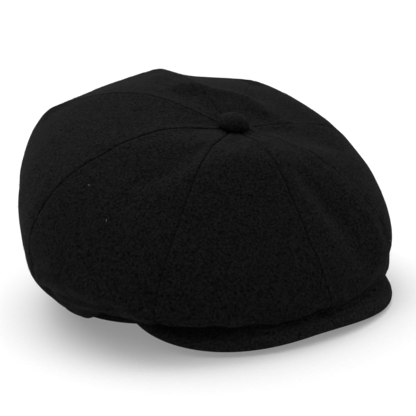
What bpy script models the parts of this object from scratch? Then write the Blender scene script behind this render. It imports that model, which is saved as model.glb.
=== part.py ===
"""Newsboy cap: eight wool gores on a headband, a stiff visor, a covered button, lining and sweatband.

Lengths are millimetres and angles degrees until a mesh is made in metres. The visor points to -Y and
the wearer's left to +X. Azimuth 0 is the front, 90 the wearer's left and 180 the back.
"""
import math

import bmesh
import bpy
import numpy as np
from mathutils import Matrix

MM = 0.001

# Head opening and headband, for a head 57 to 58 cm round.
BAND_HALF_WIDTH = 95.0
BAND_HALF_LENGTH = 93.0
BAND_HEIGHT = 11.0
FRONT_LIFT = 16.0            # the band lies flat at the back and rises to the front
LIFT_POWER = 1.9
REST_ANGLE = 30.0            # half of the arc at the back where the band lies flat
WOOL = 1.8                   # thickness of the felted outer cloth
GAP = 0.3                    # between pieces that touch

# Crown. Each triple is the value at the front, the side and the back.
GORE_COUNT = 8
CROWN_REACH = (114.0, 113.0, 126.0)
CORNERS = 3.5                # fuller at the two front corners and the back than at the front
SLOUCH = 9.5                 # the crown leans over to the wearer's right
SLOUCH_AZIMUTH = -90.0
CROWN_CENTRE = (3.0, -20.0)  # where the gores meet under the button
APEX_HEIGHT = 105.5
TOP_ROW = (0.41, (101.0, 107.0, 130.0))
SHOULDER_ROW = (0.81, (51.0, 94.0, 125.0))
REACH_HEIGHT = (32.0, 67.0, 99.0)
FOLD_INSET = (1.0, 0.0, 10.0)
FOLD_HEIGHT = (24.0, 28.0, 21.0)
RIM_RADIUS = (108.0, 102.0, 108.0)
RIM_HEIGHT = (22.0, 5.4, 8.4)   # where no visor lies below
OVER_VISOR = 2.4             # the rim clears the visor by this, at the top of its travel
RIM_DROPS = (66.0, 84.0)     # degrees from the front between which it comes down past the visor's end
SEAM_OUT = 1.0               # the gores end outside the headband, just below its top
SEAM_DOWN = 0.4
HOLLOW = 3.0                 # how far a gore sinks between its two seams
ROW_SPANS = 6                # spans between the rows of the crown and of the lining
CENTRED_BY = 0.6             # share of the way down where a dome's centre is that of the band
BUTTON_HOLE_RADIUS = 5.0

# Lining, a plain dome inside the crown.
LINING_PANELS = 4
LINING = 0.9
LINING_DROP = 11.0           # below the button
LINING_TOP = (0.40, (88.0, 100.0, 119.0))
LINING_SHOULDER = (0.70, (55.0, 86.0, 114.0))
LINING_WAIST = ((-1.0, 4.0, 6.0), (49.0, 61.0, 76.0))
LINING_HEM = (28.0, 20.0, 13.0)   # its last rows, above the headband's lower edge
LINING_FOOT = 0.9            # its last rows stand inside the headband's inner face
LINING_START = 0.015         # a pinhole at the top
LABEL = 0.5                  # thickness of both labels
LABEL_HALF_ANGLE = 14.0
LABEL_SHARES = (0.19, 0.28)
LABEL_ROOM = 1.6
LABEL_STEPS = (6, 4)

# Bands inside the headband.
STIFFENER = 0.8
STIFFENER_INSET = 1.0        # from the headband's two edges
SWEATBAND = 1.4
SWEATBAND_FOOT = 0.6
SWEATBAND_HEIGHT = 30.0
LAYER_GAP = 0.4
TAB_HALF_ANGLE = 6.0
TAB_HEIGHTS = (8.0, 22.0)
TAB_STEPS = 4

# Visor. It pivots about the line through the two ends of its seam.
VISOR_HALF_ANGLE = 59.0
VISOR_HALF_WIDTH = 86.0
VISOR_LENGTH = 20.0          # past the headband, at the centre
VISOR_FULLNESS = 2.2         # 2 is an ellipse, more is squarer
VISOR_SLOPE = 34.0
VISOR_END_RISE = 2.8
VISOR_UP = 4.0               # how far it bends up from rest
VISOR_SEAM_GAP = 1.4
VISOR_SEAM_HEIGHT = 3.4      # above the headband's lower edge
TOP_CLOTH = (3.2, 1.4)       # upper and lower faces, from the middle of the visor
BOARD = (1.0, -0.8)
UNDER_CLOTH = (-1.2, -2.4)
VISOR_LIP = 1.6
BOARD_INSET = 2.0
BOARD_SPAN = 0.95            # the board and the lower cloth stop short of the visor's ends

# Button, from its own base plane.
BUTTON_TILT = 16.0
BUTTON_STAND_OFF = 3.4
BUTTON_COVER = [(0, 6.2), (3.5, 5.9), (6.8, 4.7), (9.0, 2.6), (9.8, 0.6), (9.2, -0.6), (8.2, -1.0),
                (8.2, -0.2), (8.6, 0.6), (7.9, 2.1), (5.9, 3.8), (3.0, 4.8), (0, 5.0)]
BUTTON_SHELL = [(0, 4.6), (2.8, 4.4), (5.5, 3.4), (7.4, 1.8), (8.1, 0.6),
                (7.5, 0.6), (6.8, 1.5), (5.0, 2.9), (2.6, 3.8), (0, 4.0)]
BUTTON_BACK = [(0, 0.2), (7.7, 0.2), (7.7, -0.6), (2.5, -0.6), (2.5, -9.0), (0, -9.0)]
BUTTON_WASHER = [(2.8, -6.8), (7.5, -6.8), (7.5, -7.8), (2.8, -7.8)]
BUTTON_SEGMENTS = 18

# Mesh steps.
GORE_STEPS = (6, 16)
LINING_STEPS = (12, 10)
BAND_STEPS = 60
VISOR_STEPS = 24
VISOR_ROWS = 4
SHADE_ANGLE = 40.0           # edges sharper than this stay sharp

BLACK_WOOL = ((0.011, 0.011, 0.012), 0.95, 0.0)
BLACK_SATIN = ((0.016, 0.016, 0.018), 0.42, 0.0)
BLACK_TWILL = ((0.020, 0.020, 0.021), 0.80, 0.0)
CANVAS = ((0.62, 0.58, 0.48), 0.90, 0.0)
BOARD_PLASTIC = ((0.70, 0.70, 0.68), 0.55, 0.0)
NICKEL = ((0.62, 0.60, 0.56), 0.35, 1.0)
LABEL_CLOTH = ((0.10, 0.10, 0.105), 0.60, 0.0)


# Measures -------------------------------------------------------------------------------------------

def around(triple, azimuth):
    """The front, side and back values of a triple, run smoothly round the cap."""
    front, side, back = triple
    middle = ((front + back) / 2 + side) / 2
    forward = (front - back) / 2
    ends = ((front + back) / 2 - side) / 2
    return middle + forward * np.cos(azimuth) + ends * np.cos(2 * azimuth)


def outward(azimuth):
    """The horizontal direction at an azimuth."""
    return np.stack([np.sin(azimuth), -np.cos(azimuth)], axis=-1)


def band_radius(azimuth):
    """Radius of the headband's inner face."""
    return 1 / np.hypot(np.cos(azimuth) / BAND_HALF_LENGTH, np.sin(azimuth) / BAND_HALF_WIDTH)


def band_lift(azimuth):
    """Height of the headband's lower edge, which lies flat along its back."""
    rest = math.cos(math.radians(REST_ANGLE))
    share = np.clip((np.cos(azimuth) + rest) / (1 + rest), 0, 1)
    return FRONT_LIFT * share ** LIFT_POWER


def through_rows(rows, share):
    """A smooth curve through the rows, from the first at 0 to the last at 1."""
    last = len(rows) - 1
    padded = np.stack([2 * rows[0] - rows[1]] + rows + [2 * rows[-1] - rows[-2]])
    place = np.clip(share, 0, 1) * last
    step = np.minimum(place.astype(int), last - 1)
    part = place - step
    before, start, end, after = (np.take_along_axis(padded, (step + k)[None], 0)[0] for k in range(4))
    return 0.5 * (2 * start + (end - before) * part
                  + (2 * before - 5 * start + 4 * end - after) * part ** 2
                  + (3 * start - before - 3 * end + after) * part ** 3)


def smooth(share):
    """0 to 1 with level ends."""
    share = np.clip(share, 0, 1)
    return share * share * (3 - 2 * share)


def crown_reach(azimuth):
    """How far out the crown stands, slouched to one side."""
    slouch = SLOUCH * np.cos(azimuth - math.radians(SLOUCH_AZIMUTH))
    return around(CROWN_REACH, azimuth) + slouch - CORNERS * np.cos(3 * azimuth)


def dome(radii, heights, azimuth, share):
    """Points of a dome whose centre moves from under the button to the middle of the band."""
    radius = through_rows(radii, share)
    height = through_rows(heights, share)
    centre = np.multiply.outer(1 - smooth(share / CENTRED_BY), np.array(CROWN_CENTRE))
    flat = centre + outward(azimuth) * radius[..., None]
    return np.concatenate([flat, height[..., None]], axis=-1)


def visor_end_y():
    """How far forward the two ends of the visor's seam lie, as a negative y."""
    return -(BAND_HALF_LENGTH + WOOL + VISOR_SEAM_GAP) * math.cos(math.radians(VISOR_HALF_ANGLE))


def rim_height(azimuth):
    """Height of the crown's lowest row, which lies over the visor and droops beside it."""
    radius = around(RIM_RADIUS, azimuth)
    past_seam = radius - band_radius(azimuth) - WOOL - VISOR_SEAM_GAP
    visor_top = (band_lift(azimuth) + VISOR_SEAM_HEIGHT + TOP_CLOTH[0]
                 - past_seam * math.tan(math.radians(VISOR_SLOPE)))
    turn = np.degrees(np.arccos(np.cos(azimuth)))
    across = np.clip(turn / VISOR_HALF_ANGLE, 0, 1)
    end_rise = VISOR_END_RISE * np.sin(across * math.pi / 2) ** 4
    lever = radius * np.cos(azimuth) + visor_end_y()
    over_visor = visor_top + end_rise + OVER_VISOR + lever * math.tan(math.radians(VISOR_UP))
    start, end = RIM_DROPS
    beside = smooth((turn - start) / (end - start))
    return over_visor * (1 - beside) + around(RIM_HEIGHT, azimuth) * beside


def crown_surface(azimuth, share):
    """The crown's outer face, from the button at share 0 to the headband seam at share 1."""
    reach = crown_reach(azimuth)
    none = 0 * azimuth
    radii = [none, TOP_ROW[0] * reach, SHOULDER_ROW[0] * reach, reach,
             reach - around(FOLD_INSET, azimuth), around(RIM_RADIUS, azimuth),
             band_radius(azimuth) + WOOL + SEAM_OUT]
    heights = [none + APEX_HEIGHT, around(TOP_ROW[1], azimuth), around(SHOULDER_ROW[1], azimuth),
               around(REACH_HEIGHT, azimuth), around(FOLD_HEIGHT, azimuth), rim_height(azimuth),
               band_lift(azimuth) + BAND_HEIGHT - SEAM_DOWN]
    points = dome(radii, heights, azimuth, share)
    sink = HOLLOW * np.abs(np.sin(azimuth * GORE_COUNT / 2)) * np.sin(np.pi * share) ** 2
    points[..., :2] -= outward(azimuth) * (sink * share)[..., None]
    points[..., 2] -= sink * (1 - share)
    return points


def lining_surface(azimuth, share):
    """The lining's outer face, from under the button to behind the sweatband."""
    reach = crown_reach(azimuth)
    band = band_radius(azimuth)
    lift = band_lift(azimuth)
    none = 0 * azimuth
    foot = band - LINING_FOOT
    radii = [none, LINING_TOP[0] * reach, LINING_SHOULDER[0] * reach,
             band + around(LINING_WAIST[0], azimuth), (band + foot) / 2, foot, foot]
    heights = [none + APEX_HEIGHT - LINING_DROP, around(LINING_TOP[1], azimuth),
               around(LINING_SHOULDER[1], azimuth), around(LINING_WAIST[1], azimuth)]
    heights += [lift + hem for hem in LINING_HEM]
    return dome(radii, heights, azimuth, share)


def visor_surface(across, along, inset, offset):
    """A point of the visor: across from -1 to 1, along from its seam at 0 to its edge at 1.

    inset moves the edge in, and offset is the height above the visor's middle.
    """
    azimuth = across * math.radians(VISOR_HALF_ANGLE)
    seam = outward(azimuth) * (band_radius(azimuth) + WOOL + VISOR_SEAM_GAP)[..., None]
    end_y = visor_end_y()
    depth = BAND_HALF_LENGTH + VISOR_LENGTH + end_y
    turn = across * math.pi / 2
    power = 2 / VISOR_FULLNESS
    edge = np.stack([VISOR_HALF_WIDTH * np.sign(turn) * np.abs(np.sin(turn)) ** power,
                     end_y - depth * np.abs(np.cos(turn)) ** power], axis=-1)
    width = np.linalg.norm(edge - seam, axis=-1)
    reach = along * (width - inset)
    flat = seam + (edge - seam) * (reach / width)[..., None]
    drop = reach * math.tan(math.radians(VISOR_SLOPE))
    rise = VISOR_END_RISE * np.sin(turn) ** 4 * reach / width
    height = band_lift(azimuth) + VISOR_SEAM_HEIGHT - drop + rise + offset
    return np.concatenate([flat, height[..., None]], axis=-1)


def facing(surface, azimuth, share):
    """The outward unit normals of a dome's surface."""
    step = 1e-4
    sideways = surface(azimuth + step, share) - surface(azimuth - step, share)
    downward = surface(azimuth, share + step) - surface(azimuth, share - step)
    normals = np.cross(downward, sideways)
    return normals / np.linalg.norm(normals, axis=-1, keepdims=True)


# Mesh tools -----------------------------------------------------------------------------------------

def finish_object(mesh_data, name, finish, parent):
    """Make an object from a bmesh in millimetres, with its own material."""
    bmesh.ops.remove_doubles(mesh_data, verts=mesh_data.verts, dist=0.001)
    bmesh.ops.triangulate(mesh_data, faces=mesh_data.faces)
    bmesh.ops.recalc_face_normals(mesh_data, faces=mesh_data.faces)
    if mesh_data.calc_volume(signed=True) < 0:
        bmesh.ops.reverse_faces(mesh_data, faces=mesh_data.faces)
    bmesh.ops.transform(mesh_data, matrix=Matrix.Scale(MM, 4), verts=mesh_data.verts)
    bmesh.ops.translate(mesh_data, vec=-parent["at"], verts=mesh_data.verts)
    mesh = bpy.data.meshes.new(name)
    mesh_data.to_mesh(mesh)
    mesh_data.free()
    mesh.shade_smooth()
    mesh.set_sharp_from_angle(angle=math.radians(SHADE_ANGLE))
    mesh.materials.append(make_material(name, finish))
    made = bpy.data.objects.new(name, mesh)
    bpy.context.scene.collection.objects.link(made)
    made.parent = parent["empty"]
    return made


def make_material(name, finish):
    """A plain Principled material."""
    colour, roughness, metallic = finish
    material = bpy.data.materials.new(name)
    material.use_nodes = True
    shader = material.node_tree.nodes["Principled BSDF"]
    shader.inputs["Base Color"].default_value = (*colour, 1.0)
    shader.inputs["Roughness"].default_value = roughness
    shader.inputs["Metallic"].default_value = metallic
    return material


def slab(name, outer, inner, finish, parent, ring=False):
    """A closed solid between two grids of points, [across][along], joined round their borders."""
    mesh_data = bmesh.new()
    columns, rows = outer.shape[:2]
    faces = []
    for grid in (outer, inner):
        faces.append([[mesh_data.verts.new(point) for point in column] for column in grid])
    top, bottom = faces
    spans = columns if ring else columns - 1
    for column in range(spans):
        beside = (column + 1) % columns
        for grid in faces:
            for row in range(rows - 1):
                quad = (grid[column][row], grid[beside][row], grid[beside][row + 1], grid[column][row + 1])
                mesh_data.faces.new(quad)
        for row in (0, rows - 1):
            quad = (top[column][row], top[beside][row], bottom[beside][row], bottom[column][row])
            mesh_data.faces.new(quad)
    if not ring:
        for column in (0, columns - 1):
            for row in range(rows - 1):
                first, second = faces[0][column], faces[1][column]
                mesh_data.faces.new((first[row], first[row + 1], second[row + 1], second[row]))
    return finish_object(mesh_data, name, finish, parent)


def turned(name, profile, matrix, finish, parent):
    """A solid turned about the button's axis; a profile that starts off the axis closes on itself."""
    mesh_data = bmesh.new()
    rings = []
    for step in range(BUTTON_SEGMENTS):
        angle = 2 * math.pi * step / BUTTON_SEGMENTS
        spin = Matrix.Rotation(angle, 4, "Z")
        rings.append([mesh_data.verts.new(matrix @ spin @ Matrix.Translation((r, 0, z)).translation)
                      for r, z in profile])
    closed = profile[0][0] > 0
    count = len(profile)
    for step, ring in enumerate(rings):
        following = rings[(step + 1) % BUTTON_SEGMENTS]
        for index in range(count if closed else count - 1):
            after = (index + 1) % count
            mesh_data.faces.new((ring[index], following[index], following[after], ring[after]))
    return finish_object(mesh_data, name, finish, parent)


# Pieces ---------------------------------------------------------------------------------------------

def panel(name, surface, thickness, azimuths, shares, finish, parent, inset=0.0):
    """A cloth panel that follows a dome's surface between two azimuths and two shares."""
    azimuth, share = azimuths, np.broadcast_to(shares, azimuths.shape)
    normals = facing(surface, azimuth, share)
    outer = surface(azimuth, share) - normals * inset
    return slab(name, outer, outer - normals * thickness, finish, parent)


def seamed_azimuths(surface, count, index, shares, steps, first_seam):
    """Azimuths across one of count panels, held back from its seams by half a gap."""
    start = first_seam + 2 * math.pi * index / count
    end = start + 2 * math.pi / count
    middle = np.full_like(shares, (start + end) / 2)
    points = surface(middle, shares)
    inner = surface(middle + math.pi, shares)
    radius = np.linalg.norm(points[:, :2] - inner[:, :2], axis=-1) / 2
    margin = GAP / 2 / radius
    across = np.linspace(0, 1, steps + 1)[:, None]
    return (start + margin) * (1 - across) + (end - margin) * across


def make_crown(parent):
    """Eight gores that meet under the button, with one seam at the centre of the front."""
    steps, rows = GORE_STEPS
    first = BUTTON_HOLE_RADIUS / (ROW_SPANS * TOP_ROW[0] * CROWN_REACH[1])
    shares = np.linspace(first, 1, rows + 1)
    for index in range(GORE_COUNT):
        azimuths = seamed_azimuths(crown_surface, GORE_COUNT, index, shares, steps, 0.0)
        panel(f"crown_gore_{index + 1}", crown_surface, WOOL, azimuths, shares, BLACK_WOOL, parent)


def back_arc(half_angle, steps):
    """Azimuths from one side of the back's middle to the other."""
    return np.radians(np.linspace(180 - half_angle, 180 + half_angle, steps + 1))


def make_lining(parent):
    """Four lining panels, and a blank label sewn flat on the inside of the back."""
    steps, rows = LINING_STEPS
    shares = np.linspace(LINING_START, 1, rows + 1)
    for index in range(LINING_PANELS):
        azimuths = seamed_azimuths(lining_surface, LINING_PANELS, index, shares, steps, math.pi / 4)
        panel(f"lining_panel_{index + 1}", lining_surface, LINING, azimuths, shares, BLACK_SATIN, parent)
    steps, rows = LABEL_STEPS
    shares = np.linspace(*LABEL_SHARES, rows + 1)
    azimuths = np.repeat(back_arc(LABEL_HALF_ANGLE, steps)[:, None], rows + 1, axis=1)
    panel("lining_label", lining_surface, LABEL, azimuths, shares, LABEL_CLOTH, parent,
          inset=LINING + LABEL_ROOM)


def band_ring(name, inner_offset, thickness, low, high, finish, parent, azimuths=None):
    """An upright band that follows the head opening, from low to high above its lower edge."""
    ring = azimuths is None
    if ring:
        azimuths = np.linspace(0, 2 * math.pi, BAND_STEPS, endpoint=False)
    heights = np.stack([band_lift(azimuths) + low, band_lift(azimuths) + high], axis=-1)
    faces = []
    for offset in (inner_offset + thickness, inner_offset):
        flat = outward(azimuths) * (band_radius(azimuths) + offset)[:, None]
        flat = np.repeat(flat[:, None], 2, axis=1)
        faces.append(np.concatenate([flat, heights[..., None]], axis=-1))
    return slab(name, faces[0], faces[1], finish, parent, ring=ring)


def make_bands(parent):
    """Headband, its stiffening tape, the sweatband turned up inside, and its blank size tab."""
    band_ring("headband", 0.0, WOOL, 0.0, BAND_HEIGHT, BLACK_WOOL, parent)
    band_ring("band_stiffener", -GAP - STIFFENER, STIFFENER, STIFFENER_INSET,
              BAND_HEIGHT - STIFFENER_INSET, CANVAS, parent)
    sweat_inner = -GAP - STIFFENER - LAYER_GAP - LINING - SWEATBAND
    band_ring("sweatband", sweat_inner, SWEATBAND, SWEATBAND_FOOT, SWEATBAND_HEIGHT, BLACK_TWILL, parent)
    tab = back_arc(TAB_HALF_ANGLE, TAB_STEPS)
    band_ring("size_tab", sweat_inner - LAYER_GAP - LABEL, LABEL, *TAB_HEIGHTS, LABEL_CLOTH, parent, tab)


def visor_layer(name, faces, rows, lip, inset, finish, parent):
    """One layer of the visor between an upper and a lower face, some with a lip turned down the edge."""
    upper, lower = faces
    reach = 1.0 if lip else BOARD_SPAN
    across = np.linspace(-reach, reach, VISOR_STEPS + 1)[:, None]
    along = np.linspace(0, 1, rows + 1)[None]
    across, along = np.broadcast_arrays(across, along)
    outer = visor_surface(across, along, inset, upper)
    inner = visor_surface(across, along, inset + lip, lower)
    if lip:
        edge = across[:, -1:]
        whole = np.ones_like(edge)
        outer = np.concatenate([outer, visor_surface(edge, whole, inset, UNDER_CLOTH[1])], axis=1)
        inner = np.concatenate([inner, visor_surface(edge, whole, inset + lip, UNDER_CLOTH[1])], axis=1)
    return slab(name, outer, inner, finish, parent)


def make_visor(parent):
    """Top cloth folded down over the board's edge, the board, and the cloth below."""
    visor_layer("visor_top_cloth", TOP_CLOTH, VISOR_ROWS, VISOR_LIP, 0.0, BLACK_WOOL, parent)
    visor_layer("visor_board", BOARD, VISOR_ROWS, 0.0, BOARD_INSET, BOARD_PLASTIC, parent)
    visor_layer("visor_under_cloth", UNDER_CLOTH, VISOR_ROWS, 0.0, BOARD_INSET, BLACK_WOOL, parent)


def make_button(parent):
    """A cloth cover on a metal shell, a back plate with its shank, and the washer inside the crown."""
    tilt = Matrix.Rotation(math.radians(BUTTON_TILT), 4, "X")
    apex = Matrix.Translation((*CROWN_CENTRE, APEX_HEIGHT))
    base = apex @ tilt @ Matrix.Translation((0, 0, BUTTON_STAND_OFF))
    turned("button_cover", BUTTON_COVER, base, BLACK_WOOL, parent)
    turned("button_shell", BUTTON_SHELL, base, NICKEL, parent)
    turned("button_back", BUTTON_BACK, base, NICKEL, parent)
    turned("button_washer", BUTTON_WASHER, base, NICKEL, parent)


# Assembly -------------------------------------------------------------------------------------------

def add_empty(name, at, parent=None):
    """An empty at a point in metres, which holds a rigid body's pieces."""
    empty = bpy.data.objects.new(name, None)
    bpy.context.scene.collection.objects.link(empty)
    empty.location = at
    empty.parent = parent
    return {"empty": empty, "at": empty.location.copy()}


def clear_scene():
    """Remove every object."""
    for item in list(bpy.data.objects):
        bpy.data.objects.remove(item, do_unlink=True)


def stand_on_origin(root):
    """Move the cap so that the origin is under the middle of its box, on the surface it stands on."""
    bpy.context.view_layer.update()
    corners = [item.matrix_world @ vertex.co
               for item in bpy.data.objects if item.type == "MESH" for vertex in item.data.vertices]
    low = [min(corner[axis] for corner in corners) for axis in range(3)]
    high = [max(corner[axis] for corner in corners) for axis in range(3)]
    root.location = (-(low[0] + high[0]) / 2, -(low[1] + high[1]) / 2, -low[2])


def build():
    """Model the whole cap."""
    clear_scene()
    cap = add_empty("cap_frame", (0, 0, 0))
    tip = visor_surface(np.array([1.0]), np.array([0.0]), 0.0, 0.0)[0] * MM
    hinge = add_empty("visor_hinge", (0, tip[1], tip[2]), cap["empty"])
    make_crown(cap)
    make_lining(cap)
    make_bands(cap)
    make_button(cap)
    make_visor(hinge)
    stand_on_origin(cap["empty"])


build()
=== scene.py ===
"""Newsboy cap in black felted wool: the looks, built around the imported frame.

Points are made in millimetres about the cap's own axis and moved to the frame in metres at the end.
The visor points to -Y and the wearer's left to +X. Azimuth 0 is the front, 90 the wearer's left.
"""

import math

import bmesh
import bpy
import numpy as np
from mathutils import Matrix, Vector, noise


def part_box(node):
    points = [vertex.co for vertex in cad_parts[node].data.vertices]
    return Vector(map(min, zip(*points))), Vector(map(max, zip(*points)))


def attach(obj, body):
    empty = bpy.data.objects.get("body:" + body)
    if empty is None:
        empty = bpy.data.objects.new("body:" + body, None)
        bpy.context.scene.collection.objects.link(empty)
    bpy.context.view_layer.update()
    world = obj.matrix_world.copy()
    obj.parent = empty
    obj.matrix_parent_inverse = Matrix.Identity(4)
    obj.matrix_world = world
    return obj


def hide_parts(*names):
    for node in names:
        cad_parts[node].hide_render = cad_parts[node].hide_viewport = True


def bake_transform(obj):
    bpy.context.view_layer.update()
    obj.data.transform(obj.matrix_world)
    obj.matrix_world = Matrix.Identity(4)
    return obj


MM = 0.001

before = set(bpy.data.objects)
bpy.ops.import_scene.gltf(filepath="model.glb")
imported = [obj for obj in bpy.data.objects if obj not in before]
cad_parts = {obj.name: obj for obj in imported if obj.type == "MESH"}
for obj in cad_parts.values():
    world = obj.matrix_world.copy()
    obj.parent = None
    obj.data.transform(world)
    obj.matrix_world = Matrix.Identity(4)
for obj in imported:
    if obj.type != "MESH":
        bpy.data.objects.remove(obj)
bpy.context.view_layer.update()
band_low, band_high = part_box("headband")
AXIS = np.array([(band_low[0] + band_high[0]) / 2, (band_low[1] + band_high[1]) / 2, 0.0])

# Head opening and headband.
BAND_HALF_WIDTH = 95.0
BAND_HALF_LENGTH = 93.0
BAND_HEIGHT = 11.0
FRONT_LIFT = 16.0
LIFT_POWER = 1.9
REST_ANGLE = 30.0
WOOL = 1.8
GAP = 0.3

# Crown. Each triple is the value at the front, the side and the back. Its rows, slouch, leans, hollows,
# seam bows and turns, the visor's shape and the camera are rounded results of a least-squares fit, some
# of them changed since.
GORE_COUNT = 8
CROWN_REACH = (113.4, 112.4, 125.2)
CORNERS = 3.5                # fuller at the two front corners and the back than at the front
SLOUCH = 9.5
SLOUCH_AZIMUTH = -90.0
CROWN_CENTRE = (3.1, -20.2)
APEX_HEIGHT = 105.5
TOP_ROW = (0.41, (96.5, 107.2, 130.0))
SHOULDER_ROW = (0.81, (50.8, 93.8, 125.3))
REACH_HEIGHT = (23.0, 66.9, 99.0)
FOLD_INSET = (1.3, 0.0, 10.1)
FOLD_HEIGHT = (15.9, 26.4, 21.6)
RIM_RADIUS = (108.1, 101.2, 106.2)
RIM_HEIGHT = (14.5, 4.9, 8.5)
LEANS = (-4.4, -1.0, 2.0, -3.9)   # rises to the wearer's left: top, shoulder, reach and fold rows
TWIST_UP = 0.9               # the rows rise and fall three times round
OVER_VISOR = 1.2             # the rim lies on the visor
RIM_DROPS = (64.0, 82.2)
SEAM_OUT = 1.0
SEAM_DOWN = 0.4
HOLLOWS = (3.3, 0.8, 1.5, 8.2, 6.9, 2.9, 2.6, 1.7)     # one for each gore
SEAM_BOWS = (2.7, 0.0, -1.9, 0.0, 0.0, 0.8, 2.6, -0.9)    # degrees, at half way down each seam
SEAM_TURNS = (6.3, 0.0, 0.7, 0.0, 0.0, 0.5, -3.3, 0.4)    # degrees, at the foot of each seam
SEAM_FOOT = 0.8
FOLDS = [                    # height and width of each soft fold, and its stops as azimuth and share
    (-1.6, 7.5, [(19, 0.23), (22, 0.27), (24, 0.31), (26, 0.37)]),
    (1.0, 8.0, [(40, 0.25), (40, 0.33), (38, 0.42)]),
    (2.0, 6.0, [(193, 0.135), (166, 0.11), (128, 0.13), (111, 0.126)]),
    (-3.0, 8.0, [(127, 0.18), (134, 0.28)]),
    (1.6, 8.0, [(-134, 0.38)]),
    (1.2, 8.0, [(178, 0.27)]),
    (2.4, 5.0, [(-84, 0.62), (-65, 0.555), (-55, 0.56), (-47, 0.61)]),
    (-3.0, 5.0, [(-86, 0.70), (-70, 0.66), (-58, 0.66)]),
    (0.6, 7.0, [(-60, 0.08), (-75, 0.16), (-85, 0.24)]),
    (-0.6, 7.0, [(-40, 0.10), (-55, 0.18), (-65, 0.26)]),
]
ROW_SPANS = 6
CENTRED_BY = 0.6
BUTTON_HOLE_RADIUS = 3.4

# Lining.
LINING_PANELS = 4
LINING = 0.9
LINING_DROP = 11.0
LINING_TOP = (0.40, (88.0, 100.0, 119.0))
LINING_SHOULDER = (0.70, (55.0, 86.0, 114.0))
LINING_WAIST = ((-1.0, 4.0, 6.0), (49.0, 61.0, 76.0))
LINING_HEM = (28.0, 20.0, 13.0)
LINING_FOOT = 0.9
LINING_START = 0.015
LABEL = 0.5
LABEL_HALF_ANGLE = 14.0
LABEL_SHARES = (0.19, 0.28)
LABEL_ROOM = 1.6

# Bands inside the headband.
STIFFENER = 0.8
STIFFENER_INSET = 1.0
SWEATBAND = 1.4
SWEATBAND_FOOT = 0.6
SWEATBAND_HEIGHT = 30.0
LAYER_GAP = 0.4
TAB_HALF_ANGLE = 6.0
TAB_HEIGHTS = (8.0, 22.0)

# Visor.
VISOR_HALF_ANGLE = 59.0
VISOR_HALF_WIDTH = 86.0
VISOR_LENGTH = 21.2
VISOR_FULLNESS = 2.15
VISOR_LOP = 0.19             # fuller at the wearer's left
VISOR_SKEW = -4.7            # its front edge is pushed to the wearer's right
VISOR_SLOPE = 35.0
VISOR_END_RISE = 2.2
VISOR_TILT = -4.0            # its edge is higher at the wearer's right
VISOR_TIP_DROP = 2.3         # and its left end hangs lower
VISOR_SEAM_GAP = 1.4
VISOR_SEAM_HEIGHT = 3.5
TOP_CLOTH = (3.2, 1.4)
BOARD = (1.0, -0.8)
UNDER_CLOTH = (-1.2, -2.4)
VISOR_LIP = 1.6
BOARD_INSET = 2.0
BOARD_SPAN = 0.95

# Button.
BUTTON_TILT = 16.0
BUTTON_STAND_OFF = 3.4
BUTTON_ROOM = 1.45           # from the button's base plane down to the crown

# Camera.
CAMERA_AZIMUTH = -28.5
CAMERA_ELEVATION = 16.5
CAMERA_DISTANCE = 700.0
CAMERA_TARGET = (-3.3, 3.9, 51.2)
CAMERA_ROLL = -2.56
CAMERA_LENS = 95.5
SENSOR = 36.0

# Light. SKY lists the surround's brightness from the horizon, at 0, to overhead, at 1.
SKY = ((0.001, 0.86), (0.12, 0.86), (0.20, 0.15), (0.45, 0.2), (0.70, 1.0), (0.999, 1.7))
FLOOR_GLOW = 0.25            # the white sweep is lit from below as well
SUN_POWER = 2.45
SUN_SPREAD = 70.0
SUN_FROM = (0.05, 0.75, 1.0)


# Measures ----------------------------------

def around(triple, azimuth):
    """The front, side and back values of a triple, run smoothly round the cap."""
    front, side, back = triple
    middle = ((front + back) / 2 + side) / 2
    forward = (front - back) / 2
    ends = ((front + back) / 2 - side) / 2
    return middle + forward * np.cos(azimuth) + ends * np.cos(2 * azimuth)


def outward(azimuth):
    """The horizontal direction at an azimuth."""
    return np.stack([np.sin(azimuth), -np.cos(azimuth)], axis=-1)


def band_radius(azimuth):
    """Radius of the headband's inner face."""
    return 1 / np.hypot(np.cos(azimuth) / BAND_HALF_LENGTH, np.sin(azimuth) / BAND_HALF_WIDTH)


def band_lift(azimuth):
    """Height of the headband's lower edge, which lies flat along its back."""
    rest = math.cos(math.radians(REST_ANGLE))
    share = np.clip((np.cos(azimuth) + rest) / (1 + rest), 0, 1)
    return FRONT_LIFT * share ** LIFT_POWER


def between(before, start, end, after, part):
    """A smooth curve from start at 0 to end at 1, level with what comes before and after."""
    return 0.5 * (2 * start + (end - before) * part
                  + (2 * before - 5 * start + 4 * end - after) * part ** 2
                  + (3 * start - before - 3 * end + after) * part ** 3)


def through_rows(rows, share):
    """A smooth curve through the rows, from the first at 0 to the last at 1."""
    last = len(rows) - 1
    padded = np.stack([2 * rows[0] - rows[1]] + rows + [2 * rows[-1] - rows[-2]])
    place = np.clip(share, 0, 1) * last
    step = np.minimum(place.astype(int), last - 1)
    stops = (np.take_along_axis(padded, (step + k)[None], 0)[0] for k in range(4))
    return between(*stops, place - step)


def resample(grid, places):
    """A grid's rows read smoothly at places counted in rows."""
    last = len(grid) - 1
    step = np.clip(places.astype(int), 0, last - 1)
    part = (places - step).reshape(-1, *[1] * (grid.ndim - 1))
    stops = (grid[np.clip(step + k, 0, last)] for k in (-1, 0, 1, 2))
    return between(*stops, part)


def mesh_grid(across, along):
    """Two grids of values, [across][along]."""
    return np.meshgrid(across, along, indexing="ij")


def smooth(share):
    """0 to 1 with level ends."""
    share = np.clip(share, 0, 1)
    return share * share * (3 - 2 * share)


def crown_reach(azimuth):
    """How far out the crown stands, slouched to one side."""
    slouch = SLOUCH * np.cos(azimuth - math.radians(SLOUCH_AZIMUTH))
    return around(CROWN_REACH, azimuth) + slouch - CORNERS * np.cos(3 * azimuth)


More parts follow.
